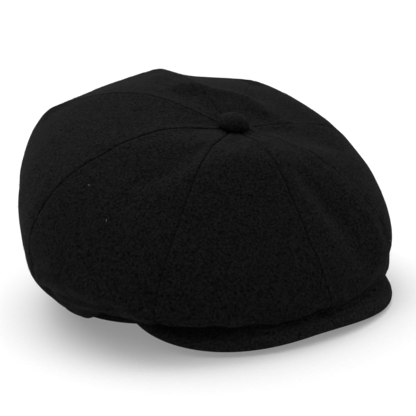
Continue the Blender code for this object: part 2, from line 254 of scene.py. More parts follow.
def dome(radii, heights, azimuth, share):
    """Points of a dome whose centre moves from under the button to the middle of the band."""
    radius = through_rows(radii, share)
    height = through_rows(heights, share)
    centre = np.multiply.outer(1 - smooth(share / CENTRED_BY), np.array(CROWN_CENTRE))
    flat = centre + outward(azimuth) * radius[..., None]
    return np.concatenate([flat, height[..., None]], axis=-1)


def visor_end_y():
    """How far forward the two ends of the visor's seam lie, as a negative y."""
    return -(BAND_HALF_LENGTH + WOOL + VISOR_SEAM_GAP) * math.cos(math.radians(VISOR_HALF_ANGLE))


def visor_rise(across):
    """How far the visor's edge rises towards its ends, from -1 to 1 across it."""
    left_end = np.clip(across, 0, 1) ** 8
    return (VISOR_END_RISE * np.sin(across * math.pi / 2) ** 4 + VISOR_TILT * across
            - VISOR_TIP_DROP * left_end)


def rim_height(azimuth):
    """Height of the crown's lowest row, which lies on the visor and droops beside it."""
    radius = around(RIM_RADIUS, azimuth)
    past_seam = radius - band_radius(azimuth) - WOOL - VISOR_SEAM_GAP
    visor_top = (band_lift(azimuth) + VISOR_SEAM_HEIGHT + TOP_CLOTH[0]
                 - past_seam * math.tan(math.radians(VISOR_SLOPE)))
    turn = np.degrees(np.arccos(np.cos(azimuth)))
    side = np.sign(np.sin(azimuth))
    end_rise = visor_rise(side * np.clip(turn / VISOR_HALF_ANGLE, 0, 1))
    start, end = RIM_DROPS
    beside = smooth((turn - start) / (end - start))
    over_visor = visor_top + end_rise + OVER_VISOR
    return over_visor * (1 - beside) + around(RIM_HEIGHT, azimuth) * beside


def crown_surface(azimuth, share):
    """The crown's outer face, from the button at share 0 to the headband seam at share 1."""
    reach = crown_reach(azimuth)
    none = 0 * azimuth
    radii = [none, TOP_ROW[0] * reach, SHOULDER_ROW[0] * reach, reach,
             reach - around(FOLD_INSET, azimuth), around(RIM_RADIUS, azimuth),
             band_radius(azimuth) + WOOL + SEAM_OUT]
    top, shoulder, widest, fold = (lean * np.sin(azimuth) for lean in LEANS)
    wave = TWIST_UP * np.cos(3 * azimuth)
    heights = [none + APEX_HEIGHT, around(TOP_ROW[1], azimuth) + top + wave / 2,
               around(SHOULDER_ROW[1], azimuth) + shoulder + wave,
               around(REACH_HEIGHT, azimuth) + widest + wave / 2,
               around(FOLD_HEIGHT, azimuth) + fold, rim_height(azimuth),
               band_lift(azimuth) + BAND_HEIGHT - SEAM_DOWN]
    return dome(radii, heights, azimuth, share)


def seam_azimuth(index, share):
    """Where a seam runs as it goes down from the button."""
    down = np.clip(share / SEAM_FOOT, 0, 1)
    bow = SEAM_BOWS[index % GORE_COUNT] * np.sin(math.pi * down)
    turn = SEAM_TURNS[index % GORE_COUNT] * down ** 2
    return 2 * math.pi * index / GORE_COUNT + np.radians(bow + turn)


def lining_surface(azimuth, share):
    """The lining's outer face, from under the button to behind the sweatband."""
    reach = crown_reach(azimuth)
    band = band_radius(azimuth)
    lift = band_lift(azimuth)
    none = 0 * azimuth
    foot = band - LINING_FOOT
    radii = [none, LINING_TOP[0] * reach, LINING_SHOULDER[0] * reach,
             band + around(LINING_WAIST[0], azimuth), (band + foot) / 2, foot, foot]
    heights = [none + APEX_HEIGHT - LINING_DROP, around(LINING_TOP[1], azimuth),
               around(LINING_SHOULDER[1], azimuth), around(LINING_WAIST[1], azimuth)]
    heights += [lift + hem for hem in LINING_HEM]
    return dome(radii, heights, azimuth, share)


def visor_surface(across, along, inset, offset):
    """A point of the visor: across from -1 to 1, along from its seam at 0 to its edge at 1.

    inset moves the edge in, and offset is the height above the visor's middle.
    """
    azimuth = across * math.radians(VISOR_HALF_ANGLE)
    seam = outward(azimuth) * (band_radius(azimuth) + WOOL + VISOR_SEAM_GAP)[..., None]
    end_y = visor_end_y()
    depth = BAND_HALF_LENGTH + VISOR_LENGTH + end_y
    turn = across * math.pi / 2
    power = 2 / (VISOR_FULLNESS + VISOR_LOP * np.sin(turn))
    edge = np.stack([VISOR_HALF_WIDTH * np.sign(turn) * np.abs(np.sin(turn)) ** power
                     + VISOR_SKEW * np.cos(turn),
                     end_y - depth * np.abs(np.cos(turn)) ** power], axis=-1)
    width = np.linalg.norm(edge - seam, axis=-1)
    reach = along * np.maximum(width - inset, 0.1)
    flat = seam + (edge - seam) * (reach / width)[..., None]
    drop = reach * math.tan(math.radians(VISOR_SLOPE))
    rise = visor_rise(across) * reach / width
    height = band_lift(azimuth) + VISOR_SEAM_HEIGHT - drop + rise + offset
    return np.concatenate([flat, height[..., None]], axis=-1)


def unit(vectors):
    """Vectors scaled to length one."""
    return vectors / np.maximum(np.linalg.norm(vectors, axis=-1, keepdims=True), 1e-9)


def facing(surface, azimuth, share):
    """The outward unit normals of a dome's surface."""
    step = 1e-4
    sideways = surface(azimuth + step, share) - surface(azimuth - step, share)
    downward = surface(azimuth, share + step) - surface(azimuth, share - step)
    return unit(np.cross(downward, sideways))


def grid_normals(points):
    """Unit normals of a grid of points, outward when it runs leftward across and downward along."""
    sideways = np.gradient(points, axis=0)
    downward = np.gradient(points, axis=1)
    return unit(np.cross(downward, sideways))


def rough(points, size, seed):
    """Smooth noise from about -1 to 1 with lumps of that size, in millimetres."""
    flat = points.reshape(-1, 3) / size
    values = [noise.noise(Vector((x + seed, y - seed, z + 2 * seed))) for x, y, z in flat]
    return np.array(values).reshape(points.shape[:-1])


# Mesh tools --------------------------------

def to_row(points):
    """Millimetres about the cap's axis as metres in the frame."""
    return np.asarray(points, float) * MM + AXIS


def add_object(name, vertices, faces, material, uvs=None):
    """A smooth-shaded mesh object from points in millimetres, with UVs in metres."""
    mesh = bpy.data.meshes.new(name)
    mesh.from_pydata(to_row(vertices).tolist(), [], [list(face) for face in faces])
    if uvs is not None:
        layer = mesh.uv_layers.new(name="cloth")
        corners = np.zeros(len(mesh.loops), int)
        mesh.loops.foreach_get("vertex_index", corners)
        layer.data.foreach_set("uv", (np.asarray(uvs)[corners] * MM).astype(np.float32).ravel())
    mesh.materials.append(material)
    mesh.shade_smooth()
    made = bpy.data.objects.new(name, mesh)
    bpy.context.scene.collection.objects.link(made)
    face_out(made)
    return made


def face_out(made):
    """Turn a closed mesh's faces outward."""
    mesh_data = bmesh.new()
    mesh_data.from_mesh(made.data)
    bmesh.ops.recalc_face_normals(mesh_data, faces=mesh_data.faces)
    if mesh_data.calc_volume(signed=True) < 0:
        bmesh.ops.reverse_faces(mesh_data, faces=mesh_data.faces)
    mesh_data.to_mesh(made.data)
    mesh_data.free()


def cloth_lengths(points):
    """Lengths along a grid's surface, across and along, which lay out its weave."""
    across = np.linalg.norm(np.diff(points, axis=0), axis=-1)
    along = np.linalg.norm(np.diff(points, axis=1), axis=-1)
    across = np.concatenate([np.zeros((1, points.shape[1])), np.cumsum(across, axis=0)], axis=0)
    along = np.concatenate([np.zeros((points.shape[0], 1)), np.cumsum(along, axis=1)], axis=1)
    across -= across[-1:] / 2
    return np.stack([across, along], axis=-1)


def quads(grid):
    """Four-sided faces between the neighbours in a grid of vertex numbers."""
    corners = (grid[:-1, :-1], grid[1:, :-1], grid[1:, 1:], grid[:-1, 1:])
    return np.stack(corners, axis=-1).reshape(-1, 4).tolist()


def shell(name, outer, inner, material, ring=False):
    """A closed cloth shell between two grids of points, [across][along]."""
    columns, rows = outer.shape[:2]
    index = np.arange(columns * rows).reshape(columns, rows)
    if ring:
        index = np.concatenate([index, index[:1]])
    below = index + columns * rows
    faces = quads(index) + quads(below[::-1])
    for row in (0, -1):
        faces += quads(np.stack([index[:, row], below[:, row]]))
    if not ring:
        for column in (0, -1):
            faces += quads(np.stack([index[column], below[column]]))
    vertices = np.concatenate([outer.reshape(-1, 3), inner.reshape(-1, 3)])
    layout = cloth_lengths(outer).reshape(-1, 2)
    return add_object(name, vertices, faces, material, np.concatenate([layout, layout]))


def flex(piece):
    """Bake the piece's placement into its mesh."""
    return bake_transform(piece)


def stand_in(piece, node):
    """The piece shows in place of a CAD solid, which is hidden."""
    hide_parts(node)
    flex(piece)


def settle(points, held, slack, gravity, most):
    """How far a ring of cloth moves as it settles: a cloth simulation on a coarse grid, capped."""
    columns, rows = points.shape[:2]
    index = np.arange(columns * rows).reshape(columns, rows)
    faces = quads(np.concatenate([index, index[:1]]))
    mesh = bpy.data.meshes.new("settling")
    mesh.from_pydata((points.reshape(-1, 3) * MM).tolist(), [], faces)
    cloth = bpy.data.objects.new("settling", mesh)
    bpy.context.scene.collection.objects.link(cloth)
    group = cloth.vertex_groups.new(name="held")
    for vertex, weight in enumerate(held.ravel()):
        group.add([vertex], float(weight), "REPLACE")
    modifier = cloth.modifiers.new("cloth", "CLOTH")
    settings = modifier.settings
    settings.vertex_group_mass = "held"
    settings.quality = 6
    settings.mass = 0.3
    settings.tension_stiffness = 25
    settings.compression_stiffness = 25
    settings.shear_stiffness = 15
    settings.bending_stiffness = 2.0
    settings.shrink_min = -slack
    settings.effector_weights.gravity = gravity
    modifier.collision_settings.use_collision = False
    modifier.point_cache.frame_end = SETTLE_FRAMES
    for step in range(1, SETTLE_FRAMES + 1):
        bpy.context.scene.frame_set(step)
    shown = cloth.evaluated_get(bpy.context.evaluated_depsgraph_get())
    ended = np.zeros(columns * rows * 3)
    shown.data.vertices.foreach_get("co", ended)
    moved = ended.reshape(points.shape) / MM - points
    bpy.data.objects.remove(cloth)
    bpy.data.meshes.remove(mesh)
    bpy.context.scene.frame_set(1)
    size = np.maximum(np.linalg.norm(moved, axis=-1, keepdims=True), 1e-6)
    return moved * most * np.tanh(size / most) / size


def carried(settling, columns, rows):
    """A ring's settling carried to a finer panel, at columns counted in the ring's own."""
    moved = resample(settling, columns).transpose(1, 0, 2)
    return resample(moved, np.linspace(0, SETTLE_ROWS - 1, rows)).transpose(1, 0, 2)


# Materials ---------------------------------

class Nodes:
    """A material's node tree with short calls for making and joining nodes."""

    def __init__(self, name):
        self.material = bpy.data.materials.new(name)
        self.material.use_nodes = True
        self.tree = self.material.node_tree
        self.shader = self.tree.nodes["Principled BSDF"]

    def add(self, kind, **inputs):
        """A node with its inputs set to values or joined to other nodes' outputs."""
        node = self.tree.nodes.new(kind)
        for label, value in inputs.items():
            self.join(node.inputs[label.replace("_", " ")], value)
        return node

    def join(self, socket, value):
        """Set a socket to a value, or link it when the value is another node's socket."""
        if isinstance(value, bpy.types.NodeSocket):
            self.tree.links.new(value, socket)
        else:
            socket.default_value = value

    def give(self, **inputs):
        """Set the shader's inputs to values or join them to other nodes' outputs."""
        for label, value in inputs.items():
            self.join(self.shader.inputs[label.replace("_", " ")], value)

    def math(self, operation, first, second=0.0):
        """A Math node's result."""
        node = self.tree.nodes.new("ShaderNodeMath")
        node.operation = operation
        self.join(node.inputs[0], first)
        self.join(node.inputs[1], second)
        return node.outputs[0]

    def place(self):
        """Position on the object, in metres."""
        return self.tree.nodes.new("ShaderNodeTexCoord").outputs["Object"]

    def noise(self, size_mm, detail=2.0, roughness=0.5, stretch=None):
        """Noise with features of about that size."""
        place = self.place()
        if stretch:
            place = self.add("ShaderNodeMapping", Vector=place, Scale=stretch).outputs["Vector"]
        made = self.add("ShaderNodeTexNoise", Vector=place, Scale=1000.0 / size_mm, Detail=detail,
                        Roughness=roughness)
        return made.outputs["Fac"]

    def ramp(self, factor, low, high, dark, light):
        """A two-colour ramp between two factors."""
        node = self.add("ShaderNodeValToRGB", Fac=factor)
        node.color_ramp.elements[0].position = low
        node.color_ramp.elements[0].color = (*dark, 1)
        node.color_ramp.elements[1].position = high
        node.color_ramp.elements[1].color = (*light, 1)
        return node.outputs["Color"]

    def bump(self, height, distance_mm, strength=1.0, before=None):
        """A Bump node's normal, after another one's when given."""
        node = self.add("ShaderNodeBump", Height=height, Distance=distance_mm * MM, Strength=strength)
        if before is not None:
            self.join(node.inputs["Normal"], before)
        return node.outputs["Normal"]


NAP_SHEEN = 0.065            # the nap's tips catch light from the side
NAP_FLOOR = 0.34


def wool_material(name, dark, light):
    """Black felted wool: a short nap in soft tufts, with faint lighter hairs."""
    made = Nodes(name)
    tufts = made.noise(6.0, detail=3.0, roughness=0.6)
    nap = made.noise(1.45, detail=4.0, roughness=0.65)
    hairs = made.noise(0.8, detail=2.0, stretch=(1.0, 0.3, 1.0))
    blend = made.math("ADD", made.math("MULTIPLY", tufts, 0.12), made.math("MULTIPLY", nap, 0.88))
    normal = made.bump(tufts, 0.4, 0.3)
    normal = made.bump(nap, 0.7, 0.8, normal)
    normal = made.bump(hairs, 0.25, 0.6, normal)
    tips = made.math("MAXIMUM", made.math("SUBTRACT", nap, NAP_FLOOR))
    made.give(Base_Color=made.ramp(blend, 0.36, 0.66, dark, light), Normal=normal,
              Roughness=made.math("ADD", made.math("MULTIPLY", nap, 0.15), 0.82),
              Specular_IOR_Level=0.02, Sheen_Weight=made.math("MULTIPLY", tips, NAP_SHEEN),
              Sheen_Roughness=0.6, Sheen_Tint=(0.9, 0.9, 0.93, 1))
    return made.material


def fibre_material():
    """Loose wool fibres, a little lighter than the felt under them."""
    made = Nodes("wool_fibre")
    tone = made.noise(5.0, detail=2.0)
    made.give(Base_Color=made.ramp(tone, 0.35, 0.65, (0.006, 0.006, 0.0062), (0.030, 0.030, 0.031)),
              Roughness=0.8, Specular_IOR_Level=0.1)
    return made.material


def lint_material():
    """Pale lint caught in the nap."""
    made = Nodes("pale_lint")
    tone = made.noise(0.4, detail=2.0)
    made.give(Base_Color=made.ramp(tone, 0.3, 0.7, (0.10, 0.10, 0.10), (0.24, 0.24, 0.25)), Roughness=0.9)
    return made.material


def satin_material():
    """Black satin lining: fine warp lines and a soft sheen."""
    made = Nodes("black_satin")
    warp = made.noise(0.5, detail=2.0, stretch=(1.0, 0.05, 1.0))
    cloud = made.noise(14.0, detail=2.0)
    made.give(Base_Color=made.ramp(warp, 0.3, 0.7, (0.010, 0.010, 0.012), (0.024, 0.024, 0.027)),
              Roughness=made.math("ADD", made.math("MULTIPLY", cloud, 0.18), 0.28),
              Normal=made.bump(warp, 0.08, 0.6), Anisotropic=0.5, Sheen_Weight=0.1)
    return made.material


def woven_material(name, dark, light, pitch_mm, slant, roughness):
    """Twill or canvas: slanted ribs crossed by threads, laid out by the cloth's own lengths."""
    made = Nodes(name)
    layout = made.tree.nodes.new("ShaderNodeUVMap")
    layout.uv_map = "cloth"
    waves = []
    for turn in (slant, slant + 90):
        turned = made.add("ShaderNodeMapping", Vector=layout.outputs["UV"],
                          Rotation=(0, 0, math.radians(turn)))
        wave = made.add("ShaderNodeTexWave", Vector=turned.outputs["Vector"],
                        Scale=1000.0 / pitch_mm / 20 * 2 * math.pi, Distortion=0.6, Detail=2.0)
        waves.append(wave.outputs["Fac"])
    ribs, threads = waves
    height = made.math("MULTIPLY", ribs, made.math("ADD", threads, 0.5))
    fuzz = made.noise(3.0, detail=4.0)
    mixed = made.math("ADD", made.math("MULTIPLY", height, 0.6), made.math("MULTIPLY", fuzz, 0.3))
    made.give(Base_Color=made.ramp(mixed, 0.1, 0.9, dark, light), Normal=made.bump(height, 0.12, 0.7),
              Roughness=roughness, Sheen_Weight=0.08)
    return made.material


def board_material():
    """Off-white plastic sheet with fine scuffs."""
    made = Nodes("visor_plastic")
    cloud = made.noise(9.0, detail=4.0)
    scuffs = made.noise(1.0, detail=3.0, stretch=(0.1, 1.0, 1.0))
    made.give(Base_Color=made.ramp(cloud, 0.3, 0.7, (0.62, 0.62, 0.59), (0.74, 0.74, 0.72)),
              Roughness=made.math("ADD", made.math("MULTIPLY", scuffs, 0.25), 0.4),
              Normal=made.bump(scuffs, 0.05, 0.4))
    return made.material


def nickel_material():
    """Nickel-plated steel with fine turning marks."""
    made = Nodes("nickel_plate")
    marks = made.noise(0.35, detail=3.0, stretch=(1.0, 1.0, 0.2))
    made.give(Base_Color=made.ramp(marks, 0.3, 0.7, (0.55, 0.53, 0.49), (0.66, 0.64, 0.60)),
              Roughness=made.math("ADD", made.math("MULTIPLY", marks, 0.2), 0.25), Metallic=1.0)
    return made.material


def thread_material():
    """Black sewing thread with its twist."""
    made = Nodes("black_thread")
    twist = made.noise(0.3, detail=1.0, stretch=(1.0, 1.0, 0.4))
    made.give(Base_Color=made.ramp(twist, 0.3, 0.7, (0.012, 0.012, 0.013), (0.05, 0.05, 0.053)),
              Normal=made.bump(twist, 0.05, 0.8), Roughness=0.5)
    return made.material


def floor_material():
    """Pale paper sweep with a faint tooth and a little light of its own."""
    made = Nodes("floor_paper")
    tooth = made.noise(2.0, detail=2.0)
    made.give(Base_Color=made.ramp(tooth, 0.3, 0.7, (0.53, 0.53, 0.53), (0.56, 0.56, 0.56)), Roughness=0.9,
              Emission_Color=(1.0, 1.0, 1.0, 1.0), Emission_Strength=FLOOR_GLOW)
    return made.material


# Crown -------------------------------------

SETTLE_FRAMES = 20
SETTLE_COLUMNS = 14          # across one gore or half of a lining panel
SETTLE_ROWS = 56
GORE_COLUMNS = 57
GORE_ROWS = 121
CROWN_START = BUTTON_HOLE_RADIUS / (ROW_SPANS * TOP_ROW[0] * CROWN_REACH[1])
CROWN_SLACK = 0.015
CROWN_SETTLE = 1.6
SEAM_DEPTHS = (0.95, 0.3, 0.28, 0.3, 0.3, 0.4, 0.75, 0.95)   # the gores turn in at their seams
SEAM_WIDTH = 0.5
SEAM_RIDGE = 0.12
FUZZ_SEED = 7
FUZZ_ROWS = 100
FUZZ_PER_AREA = 0.15         # fibres in a square millimetre
FUZZ_THICKNESS = 0.07
LINT_SEED = 3
LINT = [(7, 0.5, 42), (7, 0.3, 38), (6, 0.8, 60), (8, 0.5, 78), (1, 0.9, 60)]   # gore, across, row


def gore_shape(index, across, share):
    """Azimuths and soft outer points of one gore, its hollow and the crown's folds included."""
    azimuth = seam_azimuth(index, share) * (1 - across) + seam_azimuth(index + 1, share) * across
    sink = HOLLOWS[index] * np.sin(math.pi * across) * np.sin(math.pi * share) ** 2
    points = crown_surface(azimuth, share)
    points[..., :2] -= outward(azimuth) * (sink * share)[..., None]
    points[..., 2] -= sink * (1 - share)
    points[..., 2] += rise_to_button(points)
    return points + facing(crown_surface, azimuth, share) * fold_height(points)[..., None]


def rise_to_button(points):
    """How far the crown's gathered top rises to meet the button's underside."""
    ahead = points[..., 1] - CROWN_CENTRE[1]
    away = np.hypot(points[..., 0] - CROWN_CENTRE[0], ahead)
    tilt = math.radians(BUTTON_TILT)
    underside = APEX_HEIGHT + (BUTTON_STAND_OFF - BUTTON_ROOM) / math.cos(tilt) + ahead * math.tan(tilt)
    return np.clip(underside - points[..., 2], 0, 2) * (1 - smooth((away - 9) / 7))


def fold_height(points):
    """How far the crown's folds raise or sink it."""
    total = np.zeros(points.shape[:-1])
    for height, width, stops in FOLDS:
        place = np.linspace(0, len(stops) - 1, 8 * (len(stops) - 1) + 1)
        azimuths = np.radians(np.interp(place, range(len(stops)), [stop[0] for stop in stops]))
        shares = np.interp(place, range(len(stops)), [stop[1] for stop in stops])
        line = crown_surface(azimuths, shares)
        nearest = np.linalg.norm(points[..., None, :] - line, axis=-1).min(axis=-1)
        total += height * np.exp(-(nearest / width) ** 2)
    return total


def crown_settling():
    """The crown's settling on a coarse grid: held at the button, the rim and, softly, the seams."""
    columns = np.arange(SETTLE_COLUMNS) / SETTLE_COLUMNS
    across, share = mesh_grid(columns, np.linspace(CROWN_START, 1, SETTLE_ROWS))
    points = np.concatenate([gore_shape(index, across, share) for index in range(GORE_COUNT)])
    held = np.where(across == 0, 0.3, 0.0) + smooth((share - 0.68) / 0.12) + (share < 0.05)
    held = np.tile(np.clip(held, 0, 1), (GORE_COUNT, 1))
    moved = settle(points, held, CROWN_SLACK, 0.0, CROWN_SETTLE)
    return np.concatenate([moved, moved[:1]])


def seam_distance(points):
    """Distance of each point of a gore from its nearer seam, along the surface."""
    lengths = cloth_lengths(points)[..., 0]
    return np.minimum(lengths - lengths[:1], lengths[-1:] - lengths)


def make_gore(index, settling, material):
    """One crown gore, turned in along its two seams, with its outer points and their normals."""
    columns = 0.5 - 0.5 * np.cos(np.linspace(0, math.pi, GORE_COLUMNS))
    across, share = mesh_grid(columns, np.linspace(CROWN_START, 1, GORE_ROWS))
    points = gore_shape(index, across, share)
    points = points + carried(settling, (index + columns) * SETTLE_COLUMNS, GORE_ROWS)
    normals = grid_normals(points)
    near = seam_distance(points)
    depth = np.where(across < 0.5, SEAM_DEPTHS[index], SEAM_DEPTHS[(index + 1) % GORE_COUNT])
    turned_in = depth * np.exp(-(near / SEAM_WIDTH) ** 1.5)
    ridge = SEAM_RIDGE * np.exp(-((near - 2.2) / 1.5) ** 2)
    lumps = 0.6 * rough(points, 22.0, 3.0) + 0.12 * rough(points, 6.0, 9.0)
    raised = ridge - turned_in + lumps * (1 - np.exp(-near / 3.0))
    outer = points + normals * raised[..., None]
    piece = shell(f"crown_panel_{index + 1}", outer, outer - normals * WOOL, material)
    return piece, outer, normals


def make_crown(material):
    """Eight gores, each standing for its CAD solid, with their outer points and normals given back for the loose
    fibres.
    """
    settling = crown_settling()
    grids = []
    for index in range(GORE_COUNT):
        piece, outer, normals = make_gore(index, settling, material)
        stand_in(piece, f"crown_gore_{index + 1}")
        grids.append((outer, normals))
    return grids


def fibre_strands(roots, normals, heads, lengths, thickness):
    """Vertices and faces of thin three-sided fibres that taper to a point."""
    vertices = []
    faces = []
    for root, normal, head, length in zip(roots, normals, heads, lengths):
        side = unit(np.cross(head, normal))
        lift = np.cross(side, head)
        base = len(vertices)
        for place, width in ((-0.1, 1.0), (0.5, 0.7)):
            middle = root + head * length * place + normal * length * 0.12 * place
            for turn in (0.0, 2.1, 4.2):
                round_it = side * math.cos(turn) + lift * math.sin(turn)
                vertices.append(middle + round_it * thickness * width / 2)
        vertices.append(root + head * length)
        for corner in range(3):
            after = (corner + 1) % 3
            faces.append((base + corner, base + after, base + 3 + after, base + 3 + corner))
            faces.append((base + 3 + corner, base + 3 + after, base + 6))
        faces.append((base, base + 2, base + 1))
    return np.array(vertices), faces


def make_fuzz(grids, material):
    """Short loose fibres lying on the crown, the same each time, spread evenly over its outer face."""
    dice = np.random.default_rng(FUZZ_SEED)
    roots = []
    normals = []
    for outer, faced in grids:
        shown = outer[:, :FUZZ_ROWS]
        sides = np.cross(shown[1:, :-1] - shown[:-1, :-1], shown[:-1, 1:] - shown[:-1, :-1])
        areas = np.linalg.norm(sides, axis=-1)
        wanted = int(areas.sum() * FUZZ_PER_AREA)
        chosen = dice.choice(areas.size, wanted, p=(areas / areas.sum()).ravel())
        column, row = np.unravel_index(chosen, areas.shape)
        along = dice.random((wanted, 2, 1))
        roots.append(shown[column, row] + (shown[column + 1, row] - shown[column, row]) * along[:, 0]
                     + (shown[column, row + 1] - shown[column, row]) * along[:, 1])
        normals.append(faced[column, row])
    roots = np.concatenate(roots)
    normals = np.concatenate(normals)
    heads = dice.normal(size=roots.shape)
    heads = unit(heads - normals * (heads * normals).sum(axis=-1, keepdims=True))
    heads = unit(heads + normals * dice.uniform(0.15, 0.9, (len(roots), 1)))
    lengths = dice.uniform(0.7, 1.9, len(roots))
    vertices, faces = fibre_strands(roots, normals, heads, lengths, FUZZ_THICKNESS)
    piece = add_object("wool_fuzz", vertices, faces, material)
    flex(piece)


def make_lint(grids, material):
    """A few specks of pale lint on the front."""
    dice = np.random.default_rng(LINT_SEED)
    roots = []
    normals = []
    for gore, across, row in LINT:
        outer, faced = grids[gore - 1]
        column = int(across * (GORE_COLUMNS - 1))
        roots.append(outer[column, row])
        normals.append(faced[column, row])
    roots = np.array(roots)
    normals = np.array(normals)
    heads = unit(np.cross(normals, dice.normal(size=roots.shape))) * 0.98 + normals * 0.2
    vertices, faces = fibre_strands(roots, normals, heads, [1.5] * len(LINT), 0.35)
    piece = add_object("lint", vertices, faces, material)
    flex(piece)


# Visor -------------------------------------

VISOR_COLUMNS = 121
TOP_ROUNDING = 2.4           # how far in the edge starts to turn down
FOOT_ROUNDING = 1.2
VISOR_ROWS = 25


def visor_piece(name, faces, inset, lip, material):
    """One layer of the visor; a lip above zero turns down over the edge."""
    upper, lower = faces
    reach = 1.0 if lip else BOARD_SPAN
    across, along = mesh_grid(np.linspace(-reach, reach, VISOR_COLUMNS), np.linspace(0, 1, VISOR_ROWS))
    outer = visor_surface(across, along, inset + (TOP_ROUNDING if lip else 0.0), upper)
    inner = visor_surface(across, along, inset + lip, lower)
    if lip:
        edge = across[:, -1:]
        whole = np.ones_like(edge)
        radius = (upper - UNDER_CLOTH[1]) / 2
        middle = (upper + UNDER_CLOTH[1]) / 2
        rounded = []
        for angle in (-60, -30, 0, 30, 60, 90):
            turn = math.radians(angle)
            back = (TOP_ROUNDING if angle < 0 else FOOT_ROUNDING) * (1 - math.cos(turn))
            rounded.append(visor_surface(edge, whole, inset + back, middle - radius * math.sin(turn)))
        outer = np.concatenate([outer] + rounded, axis=1)
        low = [visor_surface(edge, whole, inset + lip, lower - (lower - UNDER_CLOTH[1]) * step / 6)
               for step in range(1, 7)]
        inner = np.concatenate([inner] + low, axis=1)
    return shell(name, outer, inner, material)


def make_visor(wool, board):
    """Upper cloth turned over the board's edge, the board, and the lower cloth."""
    upper = visor_piece("visor_cloth_upper", TOP_CLOTH, 0.0, VISOR_LIP, wool)
    core = visor_piece("visor_core", BOARD, BOARD_INSET, 0.0, board)
    lower = visor_piece("visor_cloth_lower", UNDER_CLOTH, BOARD_INSET, 0.0, wool)
    for piece, node, finish in ((upper, "visor_top_cloth", "wool"), (core, "visor_board", "board"),
                                (lower, "visor_under_cloth", "wool")):
        stand_in(piece, node)


# Bands, lining and labels ------------------

BAND_COLUMNS = 180
LINING_COLUMNS = 73
LINING_ROWS = 97
LINING_SLACK = 0.03
LINING_SETTLE = 3.5
HEADBAND_CUT = (0.015, 0.60)     # the cuts, in metres
TAPE_CUT = (0.010, 0.60)
SWEATBAND_CUT = (0.032, 0.58)
SIZE_CUT = (0.016, 0.020)


def band_piece(name, inner_offset, thickness, low, high, rows, material, azimuths=None):
    """An upright band that follows the head opening, with softly rounded edges."""
    ring = azimuths is None
    if ring:
        azimuths = np.linspace(0, 2 * math.pi, BAND_COLUMNS, endpoint=False)
    share = np.linspace(0, 1, rows)
    rounding = np.minimum(share, 1 - share) * (high - low) / thickness
    pinch = 0.35 * thickness * np.exp(-3 * rounding)
    heights = band_lift(azimuths)[:, None] + low + (high - low) * share[None]
    faces = []
    for offset, pull in ((inner_offset + thickness, -pinch), (inner_offset, pinch)):
        radius = band_radius(azimuths)[:, None] + offset + pull[None]
        flat = outward(azimuths)[:, None] * radius[..., None]
        faces.append(np.concatenate([flat, heights[..., None]], axis=-1))
    return shell(name, faces[0], faces[1], material, ring=ring)


def back_arc(half_angle, steps):
    """Azimuths from one side of the back's middle to the other."""
    return np.radians(np.linspace(180 - half_angle, 180 + half_angle, steps + 1))


def make_bands(wool, canvas, twill, label):
    """Headband, stiffening tape, sweatband and size tab."""
    head = band_piece("headband_wool", 0.0, WOOL, 0.0, BAND_HEIGHT, 12, wool)
    tape = band_piece("stiffening_tape", -GAP - STIFFENER, STIFFENER, STIFFENER_INSET,
                      BAND_HEIGHT - STIFFENER_INSET, 8, canvas)
    inner = -GAP - STIFFENER - LAYER_GAP - LINING - SWEATBAND
    sweat = band_piece("sweatband_twill", inner, SWEATBAND, SWEATBAND_FOOT, SWEATBAND_HEIGHT, 24, twill)
    tab = band_piece("size_label", inner - LAYER_GAP - LABEL, LABEL, *TAB_HEIGHTS, 12, label,
                     back_arc(TAB_HALF_ANGLE, 16))
    for piece, node, finish, cut, held, under in (
            (head, "headband", "wool", HEADBAND_CUT, "stretched", "stiffening_tape"),
            (tape, "band_stiffener", "canvas", TAPE_CUT, "stretched", "headband_wool"),
            (sweat, "sweatband", "twill", SWEATBAND_CUT, "stretched", "headband_wool"),
            (tab, "size_tab", "label", SIZE_CUT, "laid", "sweatband_twill")):
        stand_in(piece, node)


def lining_settling():
    """The loose lining's settling: held at the top, along its four seams and behind the sweatband."""
    columns = LINING_PANELS * 2 * SETTLE_COLUMNS
    azimuths = math.pi / 4 + np.linspace(0, 2 * math.pi, columns, endpoint=False)
    azimuth, share = mesh_grid(azimuths, np.linspace(LINING_START, 1, SETTLE_ROWS))
    seam = (np.arange(columns) % (2 * SETTLE_COLUMNS) == 0)[:, None]
    behind = np.cos(azimuth) < -math.cos(math.radians(LABEL_HALF_ANGLE + 4))
    label = behind & (share < LABEL_SHARES[1] + 0.03)
    held = np.clip(0.4 * seam + smooth((share - 0.62) / 0.1) + (share < 0.04) + label, 0, 1)
    moved = settle(lining_surface(azimuth, share), held, LINING_SLACK, 0.6, LINING_SETTLE)
    return np.concatenate([moved, moved[:1]])


def make_lining(satin, label):
    """Four satin panels and the blank label sewn to the back of them."""
    settling = lining_settling()
    for index in range(LINING_PANELS):
        columns = np.linspace(0, 1, LINING_COLUMNS)
        azimuths = math.pi / 4 + 2 * math.pi * (index + columns) / LINING_PANELS
        azimuth, share = mesh_grid(azimuths, np.linspace(LINING_START, 1, LINING_ROWS))
        points = lining_surface(azimuth, share)
        points = points + carried(settling, (index + columns) * 2 * SETTLE_COLUMNS, LINING_ROWS)
        normals = grid_normals(points)
        near = seam_distance(points)
        points = points - normals * (0.5 * np.exp(-(near / 0.7) ** 2))[..., None]
        piece = shell(f"lining_satin_{index + 1}", points, points - normals * LINING, satin)
        stand_in(piece, f"lining_panel_{index + 1}")
    azimuth, share = mesh_grid(back_arc(LABEL_HALF_ANGLE, 24), np.linspace(*LABEL_SHARES, 13))
    points = lining_surface(azimuth, share)
    normals = facing(lining_surface, azimuth, share)
    outer = points - normals * (LINING + LABEL_ROOM)
    piece = shell("lining_label_cloth", outer, outer - normals * LABEL, label)
    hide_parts("lining_label")
    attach(piece, "cap")


# Stitches ----------------------------------

